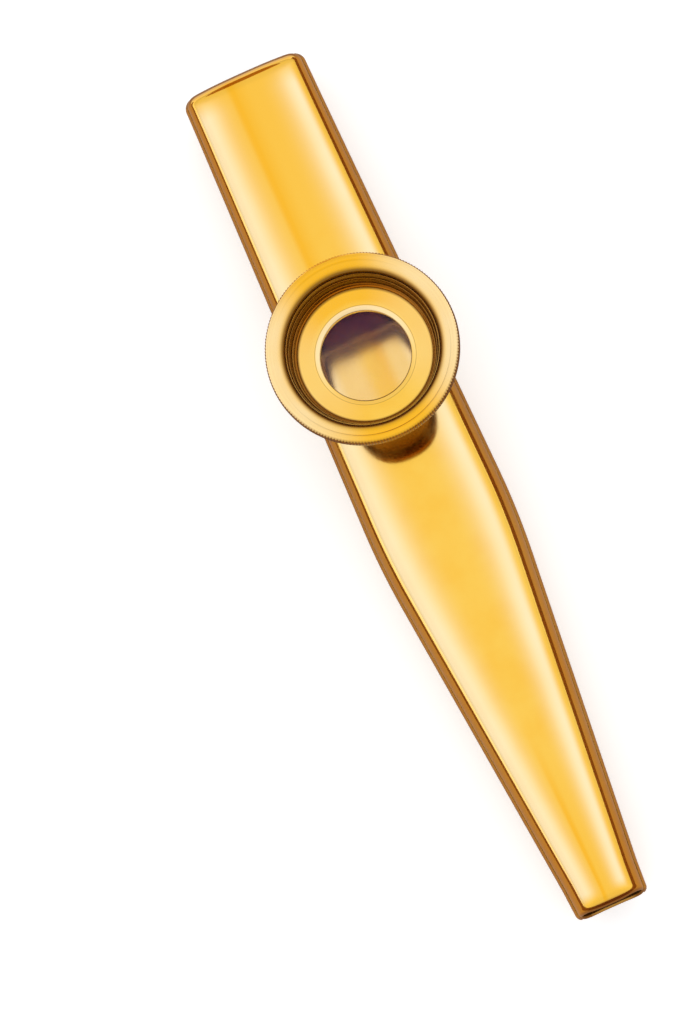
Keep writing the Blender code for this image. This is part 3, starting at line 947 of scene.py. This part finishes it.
def rim_paleness(nodes, vector):
    """Paler at the flange's sides and at one edge of the hole, for the photograph's reflections."""
    x, y, z = nodes.parts(vector)
    along, across, up = nodes.facing()
    radius = nodes.radius(x, y)
    patchy = nodes.ramp(nodes.noise(vector, RIM_PATCH_SCALE), *NOISE_SPREAD, RIM_PATCH_LEAST, 1.0)
    pale = nodes.maths("MULTIPLY", nodes.ramp(up, *RIM_PALE_LEAN), patchy)
    sides = nodes.ramp(nodes.aside(y, radius), *RIM_PALE_ASIDE, 0.0, SIDES_PALED)
    outwards = nodes.ramp(radius, BARREL_TOP, FLARE_EDGE, SHELF_SIDES_LEFT, 1.0)
    pale = nodes.maths("MULTIPLY", pale, nodes.maths("MULTIPLY", sides, outwards))
    edge = nodes.ramp(radius, BEVEL_EDGE - HALF_SHEET, BEVEL_EDGE, BEVEL_PALED, 0.0)
    edge = nodes.maths("MULTIPLY", edge, nodes.ramp(along, *BEVEL_LEAN, BEVEL_FAR, 1.0))
    return nodes.maths("MAXIMUM", pale, edge)


def crown_streak(nodes, x, y, z):
    """A painted reflection: a richer streak along the body beside its crown, with a gap past the turret."""
    streak = nodes.band(nodes.facing()[1], *CROWN_STREAK)
    from_gap = nodes.maths("ABSOLUTE", nodes.maths("SUBTRACT", x, STREAK_GAP_X))
    return nodes.maths("MULTIPLY", streak, nodes.ramp(from_gap, *STREAK_END, 0.0, STREAK_ENRICHED))


def flange_richness(nodes, x, y, z):
    """Painted reflections: richer gold on the flange, most at its front and back, and on the shelf's side
    to the mouth.
    """
    radius = nodes.radius(x, y)
    front = nodes.ramp(nodes.aside(y, radius), *RICH_ASIDE, 1.0, SIDES_ENRICHED)
    trough = nodes.ramp(radius, BARREL_TOP, CREASE_EDGE, 1.0, FLANGE_ENRICHED)
    trough = nodes.maths("MULTIPLY", trough, nodes.ramp(z, THREAD_HIGH, FLANGE_Z))
    step = nodes.band(radius, CREASE_EDGE, CREST_EDGE, CREASE_WIDTH / 4)
    rich = nodes.maths("MULTIPLY", front, nodes.maths("MAXIMUM", trough, step))
    flare = nodes.ramp(radius, BARREL_TOP, FLARE_EDGE, FLARE_ENRICHED, 0.0)
    flare = nodes.maths("MULTIPLY", flare, nodes.ramp(z, THREAD_HIGH, FLANGE_Z))
    to_mouth = nodes.maths("DIVIDE", nodes.maths("SUBTRACT", TURRET_X, x), radius)
    shelf = nodes.ramp(z, THREAD_LOW, THREAD_HIGH, SHELF_ENRICHED, 0.0)
    shelf = nodes.maths("MULTIPLY", shelf, nodes.ramp(to_mouth, *RICH_TO_MOUTH))
    shelf = nodes.maths("MULTIPLY", shelf, nodes.ramp(radius, BEVEL_EDGE, TUBE_RADIUS))
    return nodes.maths("MAXIMUM", nodes.maths("MAXIMUM", rich, flare), shelf)


def edge_shade(nodes, x, y):
    """A darker milled edge towards the tip, more in the grooves than on the ridges."""
    along, across, up = nodes.facing()
    around = nodes.around(x, y)
    ridges = nodes.maths("COSINE", nodes.maths("MULTIPLY", around, KNURL_COUNT))
    shade = nodes.ramp(ridges, -1.0, 1.0, 1.0, RIDGE_SHADE)
    shade = nodes.maths("MULTIPLY", shade, nodes.ramp(along, *SHADE_LEAN))
    shade = nodes.maths("MULTIPLY", shade, nodes.ramp(up, *SHADE_RISE, 1.0, 0.0))
    on_edge = nodes.ramp(nodes.radius(x, y), CREST_EDGE, CREST_EDGE + CREST_WIDTH)
    return nodes.maths("MULTIPLY", shade, on_edge)


def no_richness(nodes, x, y, z):
    """The same gold all over."""
    return 0.0


def painted_rim_and_end_shade(nodes, x, y, z):
    """Painted shade on the lapped rim, at the curled ends, on the belly's lip at the tip, and inside the
    ends.
    """
    above_seam = nodes.maths("SUBTRACT", z, SEAM_Z)
    off_seam = nodes.maths("ABSOLUTE", above_seam)
    seam = nodes.ramp(off_seam, RIM_ABOVE, RIM_ABOVE + SEAM_SHADE, SEAM_SHADED, 0.0)
    mouth = nodes.ramp(nodes.maths("ADD", x, LENGTH / 2), *MOUTH_SHADE, ENDS_SHADED, 0.0)
    tip = nodes.ramp(nodes.maths("SUBTRACT", LENGTH / 2, x), *TIP_SHADE, ENDS_SHADED, 0.0)
    end = nodes.maths("MAXIMUM", mouth, tip)
    near, deep = LIP_BELOW
    below = nodes.ramp(above_seam, -deep, -near, LIP_SHADED, 0.0)
    outer, inner = LIP_SHADE
    lip = nodes.maths("MULTIPLY", below, nodes.ramp(x, LENGTH / 2 - inner, LENGTH / 2 - outer))
    inside = nodes.ramp(nodes.off_end(x), *INSIDE_SHADE, INSIDE_SHADED, 0.0)
    inside = nodes.maths("MULTIPLY", unpolished(nodes, x, y, z), inside)
    outside = nodes.maths("MAXIMUM", nodes.maths("MAXIMUM", seam, end), lip)
    return nodes.maths("MAXIMUM", outside, inside)


def unpolished(nodes, x, y, z):
    """The shells' inner faces, which are left duller than the outside."""
    along, across, up = nodes.facing()
    outwards = nodes.maths("MULTIPLY", nodes.maths("SUBTRACT", z, SEAM_Z), up)
    outwards = nodes.maths("ADD", outwards, nodes.maths("MULTIPLY", y, across))
    return nodes.ramp(outwards, -INNER_MARGIN, 0.0, 1.0, 0.0)


def shell_dullness(nodes, x, y, z):
    """Dull inside, most of all near the ends, and round the collar, where polishing doesn't reach."""
    breath = nodes.ramp(nodes.off_end(x), *BREATH_DULLED, *BREATH_DULLNESS)
    inside = nodes.maths("MULTIPLY", unpolished(nodes, x, y, z), breath)
    collar = nodes.ramp(nodes.radius(x, y), SKIRT_WALL, SKIRT_WALL + COLLAR_DULLED, COLLAR_DULLNESS, 0.0)
    return nodes.maths("MAXIMUM", inside, collar)


def off_wall(nodes, radius, z):
    """How far out a point is from the middle of the cap's tapered wall."""
    rise = nodes.maths("MULTIPLY", nodes.maths("SUBTRACT", z, THREAD_LOW), math.tan(BARREL_TAPER))
    return nodes.maths("SUBTRACT", nodes.maths("SUBTRACT", radius, BARREL_ROOT), rise)


def thread_streaks(nodes, x, y, z):
    """A share of painted shade and dullness that is smaller on the thread's crests."""
    around = nodes.around(x, y)
    turns = nodes.maths("MULTIPLY", nodes.maths("SUBTRACT", z, SEAT_Z), math.tau / THREAD_PITCH)
    wave = nodes.maths("COSINE", nodes.maths("SUBTRACT", turns, around))
    return nodes.ramp(wave, CREST_START, 1.0, THREAD_SHADE_AND_DULL, CREST_SHADE_AND_DULL)


def wall_shade_and_dullness(nodes, x, y, z):
    """Painted shade on the cap's threaded wall, under its flange, on its milled edge and round its hole,
    which also dulls the metal there.
    """
    radius = nodes.radius(x, y)
    near, deep = WALL_SKIN
    wall = nodes.ramp(off_wall(nodes, radius, z), -deep, -near)
    edge, top = WALL_TOP
    above = nodes.ramp(z, THREAD_HIGH - edge, THREAD_HIGH + edge, 0.0, BEND_SHADE_AND_DULL)
    streaks = nodes.maths("MAXIMUM", thread_streaks(nodes, x, y, z), above)
    wall = nodes.maths("MULTIPLY", wall, streaks)
    wall = nodes.maths("MULTIPLY", wall, nodes.ramp(z, THREAD_HIGH + top, FLANGE_Z, 1.0, 0.0))
    along, across, up = nodes.facing()
    under = nodes.ramp(up, *UNDER_LEAN, UNDER_SHADE_AND_DULL, 0.0)
    under = nodes.maths("MULTIPLY", under, nodes.ramp(radius, BARREL_TOP, CREASE_EDGE))
    line = nodes.band(radius, BEVEL_EDGE - LINE_WIDTH, BEVEL_EDGE, LINE_WIDTH / 2)
    line = nodes.maths("MULTIPLY", line, BEVEL_LINE_SHADE_AND_DULL)
    bore = nodes.ramp(radius, BORE_EDGE + LINE_WIDTH, BORE_EDGE + BORE_LINE, BORE_LINE_SHADE_AND_DULL, 0.0)
    bore = nodes.maths("MULTIPLY", bore, nodes.ramp(along, *BORE_LEAN, 1.0, BORE_LINE_FAR))
    line = nodes.maths("MAXIMUM", nodes.maths("MAXIMUM", line, bore), edge_shade(nodes, x, y))
    return nodes.maths("MAXIMUM", nodes.maths("MAXIMUM", wall, under), line)


def collar_shade_and_dullness(nodes, x, y, z):
    """Painted shade, the same all over the collar, which also dulls its metal."""
    return COLLAR_SHADE_AND_DULL


def film_material():
    """Thin clear film with soft ripples, and a faint violet cast on its upper face."""
    material = bpy.data.materials.new("film")
    nodes = Nodes(material)
    vector = nodes.place()[0]
    clouds = nodes.noise(vector, FILM_CLOUD_SCALE)
    shader = nodes.shader()
    nodes.join(nodes.mix(nodes.ramp(clouds, *NOISE_SPREAD), FILM, FILM_PALE), shader["Base Color"])
    smears = nodes.noise(vector, FILM_SMEAR_SCALE)
    nodes.join(nodes.ramp(smears, *NOISE_SPREAD, *FILM_POLISH), shader["Roughness"])
    nodes.join(nodes.bump(clouds, FILM_RIPPLE, FILM_RIPPLE_STRENGTH), shader["Normal"])
    shader["Specular Tint"].default_value = FILM_SHEEN
    shader["Specular IOR Level"].default_value = 1.0
    up = nodes.facing()[2]
    nodes.join(nodes.ramp(up, *FILM_LEAN, FILM_ALPHA_BELOW, FILM_ALPHA), shader["Alpha"])
    return material


def ring_material():
    """Off-white moulded ring, slightly yellowed, with a fine grain."""
    material = bpy.data.materials.new("ring")
    nodes = Nodes(material)
    vector = nodes.place()[0]
    shader = nodes.shader()
    aged = nodes.ramp(nodes.noise(vector, RING_CLOUD_SCALE), *NOISE_SPREAD)
    nodes.join(nodes.mix(aged, RING, RING_AGED), shader["Base Color"])
    grain = nodes.noise(vector, RING_GRAIN_SCALE)
    nodes.join(nodes.ramp(grain, *NOISE_SPREAD, *RING_POLISH), shader["Roughness"])
    nodes.join(nodes.bump(grain, RING_GRAIN, RING_GRAIN_STRENGTH), shader["Normal"])
    return material


def plain_material(name, colour, roughness):
    """A plain matt surface for the studio."""
    material = bpy.data.materials.new(name)
    shader = Nodes(material).shader()
    shader["Base Color"].default_value = colour
    shader["Roughness"].default_value = roughness
    return material


def floor_material():
    """Matt white floor that the camera, glossy and clear surfaces see a little whiter."""
    material = plain_material("floor", FLOOR_COLOUR, FLOOR_ROUGHNESS)
    nodes = Nodes(material)
    path = nodes.add("ShaderNodeLightPath").outputs
    seen = nodes.maths("MAXIMUM", path["Is Camera Ray"], path["Is Glossy Ray"])
    seen = nodes.maths("MAXIMUM", seen, path["Is Transmission Ray"])
    nodes.join(nodes.maths("MULTIPLY", seen, FLOOR_LIFT), nodes.shader()["Emission Strength"])
    nodes.shader()["Emission Color"].default_value = DOME_COLOUR
    return material


def dress(obj, material, body, node):
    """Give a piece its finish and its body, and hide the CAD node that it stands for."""
    obj.data.materials.clear()
    obj.data.materials.append(material)
    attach(obj, body)
    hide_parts(node)


def make_kazoo():
    """All the pieces with their finishes."""
    shell_looks = (lengthwise, shoulder_paleness, crown_streak, painted_rim_and_end_shade, shell_dullness)
    collar_looks = (round_marks, rim_paleness, no_richness, collar_shade_and_dullness, collar_shade_and_dullness)
    cap_looks = (round_marks, rim_paleness, flange_richness, wall_shade_and_dullness, wall_shade_and_dullness)
    shells = gold("shell_gold", *shell_looks, SHELL_SHADE_COLOUR, SHELL_POLISH)
    collar = gold("collar_gold", *collar_looks, TURRET_SHADE_COLOUR, COLLAR_POLISH)
    cap = gold("cap_gold", *cap_looks, TURRET_SHADE_COLOUR, CAP_POLISH)
    dress(make_upper_shell(), shells, "body", "upper_shell")
    dress(make_lower_shell(), shells, "body", "lower_shell")
    dress(make_collar(), collar, "body", "turret_collar")
    dress(make_film(), film_material(), "membrane", "membrane_film")
    dress(make_ring(), ring_material(), "membrane", "membrane_ring")
    dress(make_cap(), cap, "cap", "turret_cap")


def make_floor():
    """A plain pale floor under the kazoo's belly."""
    bpy.ops.mesh.primitive_plane_add(size=FLOOR_SIZE, location=(0, 0, CAD_BOX[0][2]))
    floor = bpy.context.object
    floor.name = "floor"
    floor.data.materials.append(floor_material())


def glossy_only(obj):
    """Show a piece of the studio in the metal's reflections alone."""
    obj.visible_camera = False
    obj.visible_diffuse = False
    obj.visible_shadow = False
    obj.visible_transmission = False


def make_flags():
    """A low dark frame, a brown panel past the mouth and a brown sheet of painted shade, for the metal's
    reflections alone.
    """
    end_x = LENGTH / 2 + FLAG_BEYOND
    foot = CAD_BOX[0][2] + STUDIO_SHEET_LIFT
    left = [(-end_x, FLAG_LEFT_LOW), (FLAG_KNEE, FLAG_LEFT_HIGH)]
    right = [(-end_x, FLAG_HEIGHT), (FLAG_KNEE, FLAG_HEIGHT)]
    tip = [(FLAG_TIP, FLAG_TIP_HEIGHT), (end_x, FLAG_END_HEIGHT)]
    corners = [(x, -FLAG_ASIDE, height) for x, height in left + tip]
    corners += [(x, FLAG_ASIDE, height) for x, height in reversed(right + tip)]
    rows = [[(x, y, foot + height * share) for x, y, height in corners] for share in (0, 1)]
    flags = place("flags", grid_mesh("flags", rows, False))
    flags.data.materials.append(plain_material("flags", FLAG_COLOUR, 1.0))
    glossy_only(flags)
    shares = spread(-1, 1, END_FLAG_STEPS)
    rows = [
        [(-end_x, END_FLAG_ASIDE * t, END_FLAG_MIDDLE + half * (1 - t * t)) for t in shares]
        for half in (-END_FLAG_HALF, END_FLAG_HALF)
    ]
    end_flag = place("end_flag", grid_mesh("end_flag", rows, False))
    end_flag.data.materials.append(plain_material("end_flag", END_FLAG_COLOUR, 1.0))
    glossy_only(end_flag)
    # Painted shade: a brown sheet by the kazoo that stands for the floor's shade in the metal's reflections
    rows = [[(x, y, foot) for x in (-LENGTH / 2 - SHADE_SHEET_BEYOND, end_x)] for y in (-FLAG_ASIDE, FLAG_ASIDE)]
    shade_sheet = place("shade_sheet", grid_mesh("shade_sheet", rows, False))
    shade_sheet.data.materials.append(plain_material("shade_sheet", SHADE_SHEET_COLOUR, 1.0))
    glossy_only(shade_sheet)


def make_lights():
    """A white dome, dimmer towards the horizon, with a brighter soft band on each side of the kazoo."""
    world = bpy.data.worlds.new("dome")
    nodes = Nodes(world)
    x, y, z = nodes.parts(nodes.add("ShaderNodeTexCoord").outputs["Generated"])
    endwards = nodes.maths("ABSOLUTE", x)
    level = nodes.ramp(z, 0.0, HORIZON_RISE, HORIZON_LEVEL, DOME_LEVEL)
    level = nodes.maths("ADD", level, nodes.ramp(endwards, *ENDWARDS, 0.0, ENDS_LEVEL))
    lean = nodes.maths("ARCTAN2", y, z)
    bands = nodes.band(nodes.maths("ABSOLUTE", lean), BAND_LOW, BAND_HIGH, BAND_SOFTNESS)
    bands = nodes.maths("MULTIPLY", bands, BAND_LEVEL)
    bands = nodes.maths("MULTIPLY", bands, nodes.ramp(endwards, *ENDWARDS, 1.0, 0.0))
    background = nodes.tree.nodes["Background"].inputs
    background["Color"].default_value = DOME_COLOUR
    nodes.join(nodes.maths("ADD", level, bands), background["Strength"])
    bpy.context.scene.world = world


def make_camera():
    """The photograph's view: from above, leaning to the tip, with the kazoo on a slant."""
    back = Vector((CAMERA_SLOPE, CAMERA_ASIDE, 1)).normalized()
    along = (Vector((1, 0, 0)) - back * back.x).normalized()
    aside = back.cross(along)
    slant = AXIS_FROM_UPRIGHT - math.pi / 2
    right = along * math.cos(slant) - aside * math.sin(slant)
    up = along * math.sin(slant) + aside * math.cos(slant)
    shift_right = (MIDDLE_ACROSS - PHOTO_WIDTH / 2) * PIXEL
    shift_up = (PHOTO_HEIGHT / 2 - MIDDLE_DOWN) * PIXEL
    middle = Vector((0, 0, SEAM_Z))
    data = bpy.data.cameras.new("camera")
    data.sensor_fit = "VERTICAL"
    data.sensor_height = SENSOR
    data.sensor_width = SENSOR * PHOTO_WIDTH / PHOTO_HEIGHT
    data.lens = SENSOR * CAMERA_DISTANCE / (PHOTO_HEIGHT * PIXEL)
    data.clip_start = CAMERA_DISTANCE / 10
    camera = bpy.data.objects.new("camera", data)
    bpy.context.scene.collection.objects.link(camera)
    position = middle + back * CAMERA_DISTANCE - right * shift_right - up * shift_up
    camera.matrix_world = Matrix.Translation(position) @ Matrix((right, up, back)).transposed().to_4x4()
    bpy.context.scene.camera = camera


make_camera()
make_kazoo()
make_floor()
make_flags()
make_lights()
bpy.context.scene.view_settings.view_transform = "Standard"
